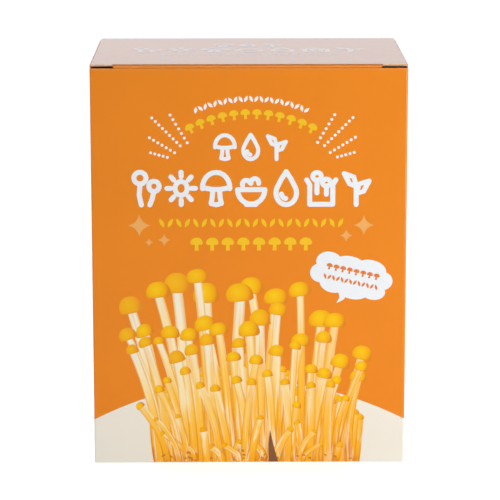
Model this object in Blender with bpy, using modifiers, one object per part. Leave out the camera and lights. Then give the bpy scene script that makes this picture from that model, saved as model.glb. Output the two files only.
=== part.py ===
"""A mushroom grow kit: a printed paperboard carton, closed, with its bagged substrate block and leaflet.

Metres, +Z up. The origin is the centre of the carton's base and the printed front faces -Y. The carton is
one folded sheet: its wrap-round wall, its top flaps and its bottom flaps are separate objects here, split at
the creases they fold on. The lid hinges on the back wall's top crease, the dust flaps on the side walls'.
"""

import math

import bmesh
import bpy
from mathutils import Matrix, Vector

# Carton, outside
WIDTH = 0.150
DEPTH = 0.105
HEIGHT = 0.194
BOARD = 0.0006
GAP = 0.0003
CREASE_RADIUS = 0.0010
CREASE_SEGMENTS = 3
HALF_WIDTH = WIDTH / 2
HALF_DEPTH = DEPTH / 2

# Heights of the stacked edges under the lid
LID_UNDERSIDE = HEIGHT - BOARD
BACK_WALL_TOP = LID_UNDERSIDE - GAP
DUST_FLAP_TOP = LID_UNDERSIDE - GAP
SIDE_WALL_TOP = DUST_FLAP_TOP - BOARD - GAP
FRONT_WALL_TOP = HEIGHT - 0.0023
TRIM_PAST = 0.0060
SIDE_TRIM_BACK_CLEARANCE = 0.0005
FRONT_TRIM_BACK_CLEARANCE = 0.0002

# Glued seam inside the back left corner
GLUE_LINE = 0.0001
GLUE_FLAP_WIDTH = 0.014
GLUE_FLAP_SETBACK = 0.008
GLUE_FLAP_SLOPE = math.radians(12)
SEAM_SETBACK = 0.0004
GLUE_TRIM_SIDE_CLEARANCE = 0.0025
GLUE_TRIM_DEPTH = 0.0016

# Lid and its tuck flap
LID_SIDE_CLEARANCE = 0.0007
LID_CORNER_RADIUS = 0.0015
SLIT_LENGTH = 0.011
LID_FRONT_SETBACK = 0.0001
TUCK_FACE = -HALF_DEPTH + BOARD + GAP
TUCK_BEND_RADIUS = 0.0012
TUCK_BEND_STEPS = 5
TUCK_LENGTH = 0.016
TUCK_LEAN = 0.0015
TUCK_SHOULDER_DROP = 0.0030
TUCK_SIDE_CLEARANCE = 0.0011
TUCK_CORNER_RADIUS = 0.007
TUCK_CORNER_SEGMENTS = 5

# Dust flaps
DUST_LENGTH = 0.048
DUST_FRONT_EDGE = -HALF_DEPTH + 0.0030
DUST_BACK_SETBACK = 0.0020
DUST_TAPER = math.radians(28)
DUST_CORNER_RADIUS = 0.005

# Snap-lock bottom, in three layers from the outside in
BOTTOM_LAYER = BOARD + GAP
BOTTOM_INSET = BOARD + GAP
BOTTOM_BACK_INSET = BOTTOM_INSET + BOARD + GLUE_LINE
BOTTOM_FRONT_REACH = 0.054
BOTTOM_BACK_REACH = 0.062
BOTTOM_SIDE_REACH = 0.040
BOTTOM_CORNER_CUT = 0.012
TONGUE_HALF_WIDTH = 0.024
TONGUE_RISE_LENGTH = 0.006
TONGUE_END_LENGTH = 0.014
NOTCH_HALF_WIDTH = 0.027
NOTCH_DEPTH = 0.0245
NOTCH_RADIUS = 0.002

# Bagged substrate block
BLOCK_SIZE = Vector((0.120, 0.080, 0.104))
BLOCK_ROUNDING = 0.009
BLOCK_SEGMENTS = 3
FILM = 0.0004
FILM_CLEARANCE = 0.0006
BAG_BASE = 3 * BOTTOM_LAYER + BOARD + GAP
BAG_CORNER_RADIUS = 0.005
BAG_CORNER_SEGMENTS = 3
BAG_SHOULDER = 0.003
BAG_ROOF_RISE = 0.009
BAG_MOUTH_HALF_WIDTH = 0.050
BAG_MOUTH_HALF_GAP = 0.0012
BAG_FIN_STEP = 0.0045
BAG_FIN_STEPS_BEFORE_FOLD = 1
BAG_FIN_FOLDS = 4
BAG_FIN_STEPS_AFTER_FOLD = 3
BAG_FIN_TURN = math.radians(104)

# Folded leaflet, standing behind the bag
LEAFLET_SIZE = Vector((0.105, 0.0012, 0.148))
LEAFLET_BACK_GAP = 0.0022


def clear_scene():
    for obj in list(bpy.data.objects):
        bpy.data.objects.remove(obj)


def make_collection(name, hidden=False):
    collection = bpy.data.collections.new(name)
    bpy.context.scene.collection.children.link(collection)
    collection.hide_render = hidden
    return collection


def make_material(name, colour, roughness):
    """A Principled material from an sRGB hex colour."""
    material = bpy.data.materials.new(name)
    material.use_nodes = True
    shader = material.node_tree.nodes["Principled BSDF"]
    channels = [int(colour[i : i + 2], 16) / 255 for i in (0, 2, 4)]
    linear = [(c / 12.92) if c <= 0.04045 else ((c + 0.055) / 1.055) ** 2.4 for c in channels]
    shader.inputs["Base Color"].default_value = (*linear, 1)
    shader.inputs["Roughness"].default_value = roughness
    shader.inputs["Metallic"].default_value = 0
    return material


def place(obj, collection, material):
    collection.objects.link(obj)
    obj.data.materials.append(material)
    return obj


def object_from_bmesh(name, bm, collection, material):
    mesh = bpy.data.meshes.new(name)
    bm.to_mesh(mesh)
    bm.free()
    return place(bpy.data.objects.new(name, mesh), collection, material)


def solidify(obj, thickness, offset=-1):
    """Gives an open sheet its thickness, on the side away from its normals."""
    modifier = obj.modifiers.new("board", "SOLIDIFY")
    modifier.thickness = thickness
    modifier.offset = offset
    modifier.use_even_offset = True
    return modifier


def rounded_outline(corners, steps=4):
    """Outline points from (x, y, radius) corners, each corner of a radius turned into an arc."""
    points = []
    count = len(corners)
    for i, (x, y, radius) in enumerate(corners):
        corner = Vector((x, y))
        if radius == 0:
            points.append(corner)
            continue
        before = (Vector(corners[i - 1][:2]) - corner).normalized()
        after = (Vector(corners[(i + 1) % count][:2]) - corner).normalized()
        half_angle = before.angle(after) / 2
        reach = radius / math.tan(half_angle)
        centre = corner + (before + after).normalized() * (radius / math.sin(half_angle))
        start = corner + before * reach - centre
        sweep = start.angle_signed(corner + after * reach - centre)
        for k in range(steps + 1):
            turned = start.copy()
            turned.rotate(Matrix.Rotation(-sweep * k / steps, 2))
            points.append(centre + turned)
    return points


def flat_plate(name, corners, low, collection, material):
    """A piece of board lying flat, from its rounded outline."""
    curve = bpy.data.curves.new(name, "CURVE")
    curve.dimensions = "2D"
    curve.fill_mode = "BOTH"
    curve.extrude = BOARD / 2
    points = rounded_outline(corners)
    spline = curve.splines.new("POLY")
    spline.points.add(len(points) - 1)
    for target, point in zip(spline.points, points):
        target.co = (point.x, point.y, 0, 1)
    spline.use_cyclic_u = True
    obj = place(bpy.data.objects.new(name, curve), collection, material)
    obj.location.z = low + BOARD / 2
    return obj


def mirrored_corners(corners):
    """The same outline on the other side of the centre plane."""
    return [(-x, y, radius) for x, y, radius in reversed(corners)]


def box_cutter(name, low, high, collection):
    bm = bmesh.new()
    bmesh.ops.create_cube(bm, size=1)
    low, high = Vector(low), Vector(high)
    bmesh.ops.scale(bm, vec=high - low, verts=bm.verts)
    bmesh.ops.translate(bm, vec=(low + high) / 2, verts=bm.verts)
    mesh = bpy.data.meshes.new(name)
    bm.to_mesh(mesh)
    bm.free()
    cutter = bpy.data.objects.new(name, mesh)
    collection.objects.link(cutter)
    cutter.hide_render = True
    cutter.display_type = "WIRE"
    return cutter


def cut(obj, cutter):
    modifier = obj.modifiers.new(cutter.name, "BOOLEAN")
    modifier.operation = "DIFFERENCE"
    modifier.object = cutter


def make_sleeve(collection, cutters, material):
    """The four walls, folded from one strip whose glue flap lies inside the back wall."""
    glued_y = HALF_DEPTH - BOARD - GLUE_LINE
    path = [
        (-HALF_WIDTH + SEAM_SETBACK, HALF_DEPTH),
        (HALF_WIDTH, HALF_DEPTH),
        (HALF_WIDTH, -HALF_DEPTH),
        (-HALF_WIDTH, -HALF_DEPTH),
        (-HALF_WIDTH, glued_y),
        (-HALF_WIDTH + GLUE_FLAP_WIDTH, glued_y),
    ]
    bm = bmesh.new()
    foot = [bm.verts.new((x, y, 0)) for x, y in path]
    edges = [bm.edges.new(pair) for pair in zip(foot, foot[1:])]
    raised = bmesh.ops.extrude_edge_only(bm, edges=edges)["geom"]
    top = [g for g in raised if isinstance(g, bmesh.types.BMVert)]
    bmesh.ops.translate(bm, vec=(0, 0, BACK_WALL_TOP), verts=top)
    creases = [e for e in bm.edges if len(e.link_faces) == 2]
    bmesh.ops.bevel(
        bm,
        geom=creases,
        offset=CREASE_RADIUS,
        segments=CREASE_SEGMENTS,
        profile=0.5,
        affect="EDGES",
        material=-1,
    )
    bmesh.ops.recalc_face_normals(bm, faces=bm.faces)
    front = min(bm.faces, key=lambda f: f.calc_center_median().y)
    if front.normal.y > 0:
        bmesh.ops.reverse_faces(bm, faces=bm.faces)
    sleeve = object_from_bmesh("carton_sleeve", bm, collection, material)
    solidify(sleeve, BOARD)

    cut(
        sleeve,
        box_cutter(
            "side_wall_trim",
            (-HALF_WIDTH - TRIM_PAST, -HALF_DEPTH - TRIM_PAST, SIDE_WALL_TOP),
            (
                HALF_WIDTH + TRIM_PAST,
                HALF_DEPTH - CREASE_RADIUS - SIDE_TRIM_BACK_CLEARANCE,
                HEIGHT + TRIM_PAST,
            ),
            cutters,
        ),
    )
    cut(
        sleeve,
        box_cutter(
            "front_wall_trim",
            (-HALF_WIDTH - TRIM_PAST, -HALF_DEPTH - TRIM_PAST, FRONT_WALL_TOP),
            (
                HALF_WIDTH + TRIM_PAST,
                -HALF_DEPTH + CREASE_RADIUS + FRONT_TRIM_BACK_CLEARANCE,
                HEIGHT + TRIM_PAST,
            ),
            cutters,
        ),
    )
    for name, low_z, high_z, sign in (
        ("glue_flap_top_trim", HEIGHT - GLUE_FLAP_SETBACK, HEIGHT + TRIM_PAST, 1),
        ("glue_flap_foot_trim", -TRIM_PAST, GLUE_FLAP_SETBACK, -1),
    ):
        trim = box_cutter(
            name,
            (-HALF_WIDTH + GLUE_TRIM_SIDE_CLEARANCE, glued_y - GLUE_TRIM_DEPTH, low_z),
            (-HALF_WIDTH + GLUE_FLAP_WIDTH + TRIM_PAST, glued_y + GLUE_LINE / 2, high_z),
            cutters,
        )
        pivot = Vector((-HALF_WIDTH, 0, low_z if sign > 0 else high_z))
        turn = Matrix.Rotation(sign * GLUE_FLAP_SLOPE, 4, "Y")
        trim.matrix_world = Matrix.Translation(pivot) @ turn @ Matrix.Translation(-pivot)
        cut(sleeve, trim)
    return sleeve


def make_lid(collection, material):
    """The top panel, its front corners running on past the slits at each end of the tuck flap's crease."""
    side = HALF_WIDTH - LID_SIDE_CLEARANCE
    slit = HALF_WIDTH - SLIT_LENGTH
    corner_front = -HALF_DEPTH + LID_FRONT_SETBACK
    crease_front = TUCK_FACE + TUCK_BEND_RADIUS + GAP
    corners = [
        (side, corner_front, 0),
        (side, HALF_DEPTH, LID_CORNER_RADIUS),
        (-side, HALF_DEPTH, LID_CORNER_RADIUS),
        (-side, corner_front, 0),
        (-slit, corner_front, 0),
        (-slit, crease_front, 0),
        (slit, crease_front, 0),
        (slit, corner_front, 0),
    ]
    return flat_plate("lid_panel", corners, LID_UNDERSIDE, collection, material)


def make_tuck_flap(collection, material):
    """The flap that slides down behind the front wall, with the rounded bend that joins it to the lid."""
    side = HALF_WIDTH - TUCK_SIDE_CLEARANCE
    slit = HALF_WIDTH - SLIT_LENGTH - GAP
    shoulder = Vector((0, TUCK_FACE, HEIGHT - TUCK_SHOULDER_DROP))
    tip = Vector((0, TUCK_FACE + TUCK_LEAN, HEIGHT - TUCK_LENGTH))
    bm = bmesh.new()
    columns = (-side, -slit, slit, side)
    upper = [bm.verts.new(shoulder + Vector((x, 0, 0))) for x in columns]
    lower = [bm.verts.new(tip + Vector((x, 0, 0))) for x in columns]
    for i in range(len(columns) - 1):
        bm.faces.new((upper[i], lower[i], lower[i + 1], upper[i + 1]))
    crease = bm.edges.get((upper[1], upper[2]))
    centre = Vector((0, TUCK_FACE + TUCK_BEND_RADIUS, HEIGHT - TUCK_BEND_RADIUS))
    edge = crease
    for k in range(TUCK_BEND_STEPS + 1):
        angle = math.pi / 2 * k / TUCK_BEND_STEPS
        target = centre + TUCK_BEND_RADIUS * Vector((0, -math.cos(angle), math.sin(angle)))
        made = bmesh.ops.extrude_edge_only(bm, edges=[edge])["geom"]
        for vert in (g for g in made if isinstance(g, bmesh.types.BMVert)):
            vert.co.yz = target.yz
        edge = next(
            g for g in made if isinstance(g, bmesh.types.BMEdge) and len(g.link_faces) == 1
            and all(abs(v.co.z - target.z) < 1e-7 and abs(v.co.y - target.y) < 1e-7 for v in g.verts)
        )
    bmesh.ops.bevel(
        bm,
        geom=[lower[0], lower[-1]],
        offset=TUCK_CORNER_RADIUS,
        segments=TUCK_CORNER_SEGMENTS,
        profile=0.5,
        affect="VERTICES",
        material=-1,
    )
    bmesh.ops.recalc_face_normals(bm, faces=bm.faces)
    flat = max(bm.faces, key=lambda f: f.calc_area())
    if flat.normal.y > 0:
        bmesh.ops.reverse_faces(bm, faces=bm.faces)
    flap = object_from_bmesh("tuck_flap", bm, collection, material)
    solidify(flap, BOARD)
    return flap


def make_dust_flaps(collection, material):
    """The side flaps under the lid. The slope at the back keeps them clear of the rising lid."""
    root_back = HALF_DEPTH - DUST_BACK_SETBACK
    tip_x = -HALF_WIDTH + DUST_LENGTH
    tip_back = root_back - DUST_LENGTH * math.tan(DUST_TAPER)
    corners = [
        (-HALF_WIDTH, DUST_FRONT_EDGE, 0),
        (tip_x, DUST_FRONT_EDGE, DUST_CORNER_RADIUS),
        (tip_x, tip_back, DUST_CORNER_RADIUS),
        (-HALF_WIDTH, root_back, 0),
    ]
    low = DUST_FLAP_TOP - BOARD
    flat_plate("dust_flap_left", corners, low, collection, material)
    flat_plate("dust_flap_right", mirrored_corners(corners), low, collection, material)


def make_bottom_flaps(collection, material):
    """The snap-lock bottom: front flap outside, side flaps in the middle layer, back flap inside."""
    side = HALF_WIDTH - BOTTOM_INSET
    front = -HALF_DEPTH + BOTTOM_INSET
    back = HALF_DEPTH - BOTTOM_BACK_INSET
    back_edge = back - BOTTOM_BACK_REACH
    notch_end = back_edge + NOTCH_DEPTH
    flat_plate(
        "bottom_flap_back",
        [
            (side, back, 0),
            (-side, back, 0),
            (-side + BOTTOM_CORNER_CUT, back_edge, DUST_CORNER_RADIUS),
            (-NOTCH_HALF_WIDTH, back_edge, NOTCH_RADIUS),
            (-NOTCH_HALF_WIDTH, notch_end, NOTCH_RADIUS),
            (NOTCH_HALF_WIDTH, notch_end, NOTCH_RADIUS),
            (NOTCH_HALF_WIDTH, back_edge, NOTCH_RADIUS),
            (side - BOTTOM_CORNER_CUT, back_edge, DUST_CORNER_RADIUS),
        ],
        2 * BOTTOM_LAYER,
        collection,
        material,
    )
    inner = side - BOTTOM_SIDE_REACH
    side_corners = [
        (-side, front + GAP, 0),
        (-inner, front + BOTTOM_CORNER_CUT, DUST_CORNER_RADIUS),
        (-inner, back - 2 * BOTTOM_CORNER_CUT, DUST_CORNER_RADIUS),
        (-side, back - GAP, 0),
    ]
    flat_plate("bottom_flap_left", side_corners, BOTTOM_LAYER, collection, material)
    flat_plate(
        "bottom_flap_right", mirrored_corners(side_corners), BOTTOM_LAYER, collection, material
    )

    bm = bmesh.new()
    reach = front + BOTTOM_FRONT_REACH
    outer = [bm.verts.new((x, front, 0)) for x in (-side, -TONGUE_HALF_WIDTH, TONGUE_HALF_WIDTH, side)]
    shoulder = side - BOTTOM_CORNER_CUT
    inner_row = [
        bm.verts.new((x, reach, 0)) for x in (-shoulder, -TONGUE_HALF_WIDTH, TONGUE_HALF_WIDTH, shoulder)
    ]
    for i in range(3):
        bm.faces.new((outer[i], inner_row[i], inner_row[i + 1], outer[i + 1]))
    edge = bm.edges.get((inner_row[1], inner_row[2]))
    rise = 3 * BOTTOM_LAYER
    for step in ((TONGUE_RISE_LENGTH, rise), (TONGUE_END_LENGTH, 0)):
        made = bmesh.ops.extrude_edge_only(bm, edges=[edge])["geom"]
        verts = [g for g in made if isinstance(g, bmesh.types.BMVert)]
        bmesh.ops.translate(bm, vec=(0, *step), verts=verts)
        edge = bm.edges.get(verts)
    bmesh.ops.recalc_face_normals(bm, faces=bm.faces)
    if bm.faces[0].normal.z > 0:
        bmesh.ops.reverse_faces(bm, faces=bm.faces)
    solidify(object_from_bmesh("bottom_flap_front", bm, collection, material), BOARD)


def rounded_block(size, base, rounding, segments):
    """A block standing at a height, with its edges rounded."""
    bm = bmesh.new()
    bmesh.ops.create_cube(bm, size=1)
    bmesh.ops.scale(bm, vec=size, verts=bm.verts)
    bmesh.ops.translate(bm, vec=(0, 0, base + size.z / 2), verts=bm.verts)
    bmesh.ops.bevel(
        bm,
        geom=list(bm.edges),
        offset=rounding,
        segments=segments,
        profile=0.5,
        affect="EDGES",
        material=-1,
    )
    return bm


def make_block(collection, material):
    bm = rounded_block(BLOCK_SIZE, BAG_BASE + FILM + FILM_CLEARANCE, BLOCK_ROUNDING, BLOCK_SEGMENTS)
    return object_from_bmesh("substrate_block", bm, collection, material)


def make_bag(collection, material):
    """The film bag round the block: a gabled top drawn in to a flat mouth, folded down on one side."""
    margin = 2 * (FILM + FILM_CLEARANCE)
    size = BLOCK_SIZE + Vector((margin, margin, margin + BAG_SHOULDER))
    bm = bmesh.new()
    bmesh.ops.create_cube(bm, size=1)
    bmesh.ops.scale(bm, vec=size, verts=bm.verts)
    bmesh.ops.translate(bm, vec=(0, 0, BAG_BASE + size.z / 2), verts=bm.verts)
    uprights = [e for e in bm.edges if abs(e.verts[0].co.z - e.verts[1].co.z) > size.z / 2]
    bmesh.ops.bevel(
        bm,
        geom=uprights,
        offset=BAG_CORNER_RADIUS,
        segments=BAG_CORNER_SEGMENTS,
        profile=0.5,
        affect="EDGES",
        material=-1,
    )
    roof = max(bm.faces, key=lambda f: f.calc_center_median().z)
    made = bmesh.ops.extrude_discrete_faces(bm, faces=[roof])["faces"]
    mouth = made[0]
    half = size / 2
    for vert in mouth.verts:
        vert.co.x *= BAG_MOUTH_HALF_WIDTH / half.x
        vert.co.y *= BAG_MOUTH_HALF_GAP / half.y
        vert.co.z += BAG_ROOF_RISE
    bmesh.ops.delete(bm, geom=[mouth], context="FACES_ONLY")
    bmesh.ops.remove_doubles(bm, verts=bm.verts, dist=1e-6)
    rim = [e for e in bm.edges if len(e.link_faces) == 1]
    direction = Vector((0, 0, 1))
    turn = Matrix.Rotation(-BAG_FIN_TURN / BAG_FIN_FOLDS, 3, "X")
    last_fold = BAG_FIN_STEPS_BEFORE_FOLD + BAG_FIN_FOLDS
    for k in range(last_fold + BAG_FIN_STEPS_AFTER_FOLD):
        centre = sum((v.co for e in rim for v in e.verts), Vector()) / (2 * len(rim))
        rim = [
            g for g in bmesh.ops.extrude_edge_only(bm, edges=rim)["geom"]
            if isinstance(g, bmesh.types.BMEdge) and len(g.link_faces) == 1
        ]
        verts = list({v for e in rim for v in e.verts})
        if BAG_FIN_STEPS_BEFORE_FOLD <= k < last_fold:
            direction = turn @ direction
            bmesh.ops.rotate(bm, verts=verts, cent=centre, matrix=turn)
        bmesh.ops.translate(bm, vec=direction * BAG_FIN_STEP, verts=verts)
    bmesh.ops.recalc_face_normals(bm, faces=bm.faces)
    base = min(bm.faces, key=lambda f: f.calc_center_median().z)
    if base.normal.z > 0:
        bmesh.ops.reverse_faces(bm, faces=bm.faces)
    bag = object_from_bmesh("grow_bag", bm, collection, material)
    solidify(bag, FILM)
    return bag


def make_leaflet(collection, material):
    bm = bmesh.new()
    bmesh.ops.create_cube(bm, size=1)
    bmesh.ops.scale(bm, vec=LEAFLET_SIZE, verts=bm.verts)
    back = HALF_DEPTH - BOARD - LEAFLET_BACK_GAP
    centre = (0, back - LEAFLET_SIZE.y / 2, BAG_BASE + LEAFLET_SIZE.z / 2)
    bmesh.ops.translate(bm, vec=centre, verts=bm.verts)
    return object_from_bmesh("leaflet", bm, collection, material)


def main():
    clear_scene()
    kit = make_collection("mushroom_grow_kit")
    cutters = make_collection("cutters", hidden=True)
    printed = make_material("printed coated paperboard", "E87F22", 0.32)
    plain = make_material("unprinted paperboard", "CFC8BC", 0.8)
    film = make_material("polypropylene film", "DDE2E2", 0.2)
    mycelium = make_material("mycelium on sawdust", "D9CBB0", 0.9)
    paper = make_material("leaflet paper", "F1EEE6", 0.7)
    make_sleeve(kit, cutters, printed)
    make_lid(kit, printed)
    make_tuck_flap(kit, printed)
    make_dust_flaps(kit, plain)
    make_bottom_flaps(kit, plain)
    make_block(kit, mycelium)
    make_bag(kit, film)
    make_leaflet(kit, paper)


main()
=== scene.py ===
"""Mushroom grow kit: the finished carton with its print, what is inside it, and the studio.

Metres, +Z up, printed front towards -Y. Artwork is drawn flat, in millimetres, on the panel
that carries it.
"""

import math
import random
from functools import partial

import bmesh
import bpy
from bpy.props import FloatProperty, FloatVectorProperty, IntProperty, PointerProperty
from mathutils import Matrix, Vector, noise
from mathutils.geometry import delaunay_2d_cdt


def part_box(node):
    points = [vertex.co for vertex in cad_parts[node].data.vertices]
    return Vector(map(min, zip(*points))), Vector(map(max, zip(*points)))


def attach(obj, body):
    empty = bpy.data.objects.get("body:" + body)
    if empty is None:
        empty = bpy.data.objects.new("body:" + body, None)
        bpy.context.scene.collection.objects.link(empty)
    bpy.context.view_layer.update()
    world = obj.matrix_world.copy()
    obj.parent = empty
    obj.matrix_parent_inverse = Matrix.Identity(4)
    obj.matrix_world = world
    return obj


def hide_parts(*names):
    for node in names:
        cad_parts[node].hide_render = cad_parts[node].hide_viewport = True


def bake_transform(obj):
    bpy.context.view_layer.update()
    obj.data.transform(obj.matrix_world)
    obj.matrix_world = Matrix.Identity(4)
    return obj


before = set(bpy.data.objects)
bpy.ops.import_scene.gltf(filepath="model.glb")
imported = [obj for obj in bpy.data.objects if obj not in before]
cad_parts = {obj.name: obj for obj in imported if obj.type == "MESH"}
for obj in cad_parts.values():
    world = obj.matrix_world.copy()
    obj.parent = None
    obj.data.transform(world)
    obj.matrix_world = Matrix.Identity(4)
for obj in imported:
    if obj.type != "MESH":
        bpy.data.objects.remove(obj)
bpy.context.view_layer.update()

bl_info = {
    "name": "Mushroom Grow Kit",
    "version": (1, 0, 0),
    "blender": (4, 5, 0),
    "location": "3D View > Sidebar > Grow Kit",
    "description": "Builds a printed grow kit carton with its bagged block and leaflet",
    "category": "Add Mesh",
}

MM = 0.001
_, WALL_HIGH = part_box("carton_sleeve")
LID_LOW, LID_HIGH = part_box("lid_panel")
TUCK_LOW, TUCK_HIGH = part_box("tuck_flap")
BLOCK_LOW, BLOCK_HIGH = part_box("substrate_block")
LEAFLET_LOW, LEAFLET_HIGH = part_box("leaflet")
# the tuck flap springs forward until it all but touches the front wall
TUCK_FACE = TUCK_LOW.y - 0.00015
HALF_WIDTH = WALL_HIGH.x
HALF_DEPTH = WALL_HIGH.y
TOP = LID_HIGH.z
BOARD = LID_HIGH.z - LID_LOW.z
INK = 0.00003
# the printed faces lie this far inside the solid's, so that the inks on them stay within its box
SKIN = 0.00008


# ---------------------------------------------------------------- colours and nodes


def linear(colour):
    """Linear RGB from an sRGB hex colour."""
    channels = [int(colour[i : i + 2], 16) / 255 for i in (0, 2, 4)]
    return tuple(c / 12.92 if c <= 0.04045 else ((c + 0.055) / 1.055) ** 2.4 for c in channels)


def rgba(colour):
    return (*(linear(colour) if isinstance(colour, str) else colour), 1)


def add_node(tree, kind, inputs=(), stops=(), **settings):
    """Adds a node with its settings, values or links, and colour stops; returns its outputs."""
    node = tree.nodes.new("ShaderNode" + kind)
    for name, value in settings.items():
        setattr(node, name, value)
    for name, value in dict(inputs).items():
        socket = node.inputs[name]
        if isinstance(value, bpy.types.NodeSocket):
            tree.links.new(value, socket)
        else:
            socket.default_value = rgba(value) if socket.type == "RGBA" else value
    if stops:
        elements = node.color_ramp.elements
        for _ in range(len(stops) - len(elements)):
            elements.new(1)
        for element, (position, colour) in zip(elements, stops):
            element.position = position
            element.color = rgba(colour)
    return node.outputs


def new_material(name, **values):
    """A Principled material with constant values on its shader, and add_node for its tree."""
    material = bpy.data.materials.new(name)
    material.use_nodes = True
    for socket, value in values.items():
        shader = material.node_tree.nodes["Principled BSDF"]
        shader.inputs[socket.replace("_", " ")].default_value = value
    return material, partial(add_node, material.node_tree)


def wired(material, **outputs):
    """Links outputs to the material's shader, and returns the material."""
    tree = material.node_tree
    for socket, output in outputs.items():
        tree.links.new(output, tree.nodes["Principled BSDF"].inputs[socket.replace("_", " ")])
    return material


# settings that many nodes share
COLOUR = {"data_type": "RGBA"}
SMOOTH = {"interpolation_type": "SMOOTHSTEP"}
TIMES, PLUS, TIMES_PLUS = ({"operation": o} for o in ("MULTIPLY", "ADD", "MULTIPLY_ADD"))
SIZE, ABOVE, BELOW = ({"operation": o} for o in ("ABSOLUTE", "GREATER_THAN", "LESS_THAN"))


# ---------------------------------------------------------------- materials

# Gloss dispersion varnish over offset ink: thin, so it barely lightens the ink seen square on, and
# it mirrors the room only at a low angle.
VARNISH = {
    "Roughness": 0.42,
    "Specular_IOR_Level": 0.04,
    "Coat_Weight": 1.0,
    "Coat_Roughness": 0.16,
    "Coat_IOR": 1.3,
}


def varnish_relief(node, place):
    """Slow waves of the board, and paper tooth drawn at 1.4 mm where the real tooth is 0.1 mm."""
    tooth = node("TexNoise", {"Vector": place, "Scale": 1 / 0.0014, "Detail": 2})[0]
    wave = node("TexNoise", {"Vector": place, "Scale": 1 / 0.045, "Detail": 1})[0]
    height = node("Math", {0: wave, 1: 40.0, 2: tooth}, **TIMES_PLUS)[0]
    return node("Bump", {"Height": height, "Distance": 0.000008})[0]


def drifting(node, place, colour, size, detail):
    """Solid ink whose density drifts a little over a given size."""
    drift = node("TexNoise", {"Vector": place, "Scale": 1 / size, "Detail": detail})[0]
    deeper = tuple(channel * 0.93 for channel in colour)
    return node("Mix", {0: drift, 6: deeper, 7: colour}, **COLOUR)[2]


def printed_board(orange, cream):
    """Offset-printed clay-coated board: flat solid ink, and cream ink below the hill line."""
    material, node = new_material("offset printed coated board", **VARNISH)
    place = node("TexCoord")["Object"]
    axes = node("SeparateXYZ", {"Vector": place})
    heights = []
    for axis, half, rise in (("X", HALF_WIDTH, 0.0192), ("Y", HALF_DEPTH, 0.0110)):
        square = node("Math", {0: axes[axis], 1: axes[axis]}, **TIMES)[0]
        heights.append(node("Math", {0: square, 1: -rise / half**2, 2: rise}, **TIMES_PLUS)[0])
    hill = node("Math", dict(enumerate(heights)), **PLUS)[0]
    above = node("Math", {0: axes["Z"], 1: hill}, operation="SUBTRACT")[0]
    edge = {"Value": above, "From Min": 0.02140, "From Max": 0.02165}
    ink = drifting(node, place, orange, 0.030, 2)
    ground = node("Mix", {0: node("MapRange", edge, **SMOOTH)[0], 6: cream, 7: ink}, **COLOUR)[2]
    # the folds and the top paled: partly wear, partly painted highlight
    highlit_and_worn = edge_highlight_and_wear(node, place, axes, ground)
    return wired(material, Base_Color=highlit_and_worn, Normal=varnish_relief(node, place))


def edge_highlight_and_wear(node, place, axes, ground):
    """The print paled within about 1 mm of the folds and from 3.4 mm below the top upwards, lid
    included: partly rubbing from handling, partly a painted highlight along the edges.
    """
    side = node("Math", {0: axes["X"]}, **SIZE)[0]
    fold = {"Value": side, "From Min": HALF_WIDTH - 0.0010, "From Max": HALF_WIDTH}
    rim = {"Value": axes["Z"], "From Min": TOP - 0.0034, "From Max": TOP - 0.0020}
    near = {i: node("MapRange", values, **SMOOTH)[0] for i, values in enumerate((fold, rim))}
    either = node("Math", near, operation="MAXIMUM")[0]
    patchy = node("TexNoise", {"Vector": place, "Scale": 1 / 0.003, "Detail": 3})[0]
    amount = node("Math", {0: either, 1: patchy}, **TIMES)[0]
    share = node("Math", {0: amount, 1: 0.12}, **TIMES)[0]
    # painted highlight and wear: the ground mixes towards pale peach near the folds and the top
    return node("Mix", {0: share, 6: ground, 7: "F6D9BC"}, **COLOUR)[2]


def bare_board():
    """Recycled back of the board: grey, with darker and lighter fibres about 1 mm long."""
    material, node = new_material(
        "uncoated recycled board", Roughness=0.85, Specular_IOR_Level=0.25
    )
    place = node("TexCoord")["Object"]
    fibre = node("TexNoise", {"Vector": place, "Scale": 1 / 0.0009, "Detail": 4})[0]
    cloud = node("TexNoise", {"Vector": place, "Scale": 1 / 0.012, "Detail": 3})[0]
    greys = ((0.30, "B2ABA0"), (0.46, "CCC6BB"), (0.60, "D6D1C7"), (0.75, "E4E0D8"))
    grey = node("ValToRGB", {"Fac": fibre}, greys)[0]
    colour = node("Mix", {0: 0.35, 6: grey, 7: cloud}, blend_type="SOFT_LIGHT", **COLOUR)[2]
    relief = node("Bump", {"Height": fibre, "Distance": 0.00006})[0]
    return wired(material, Base_Color=colour, Normal=relief)


def cut_board():
    """Die-cut board edge: warm tan fibre in fine layers, matt."""
    material, node = new_material("die cut board edge", Roughness=0.9, Specular_IOR_Level=0.2)
    place = node("TexCoord")["Object"]
    fibre = node("TexNoise", {"Vector": place, "Scale": 1 / 0.0007, "Detail": 3})[0]
    tan = node("ValToRGB", {"Fac": fibre}, ((0.3, "D69C68"), (0.7, "EDBE92")))[0]
    relief = node("Bump", {"Height": fibre, "Distance": 0.00008})[0]
    return wired(material, Base_Color=tan, Normal=relief)


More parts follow.
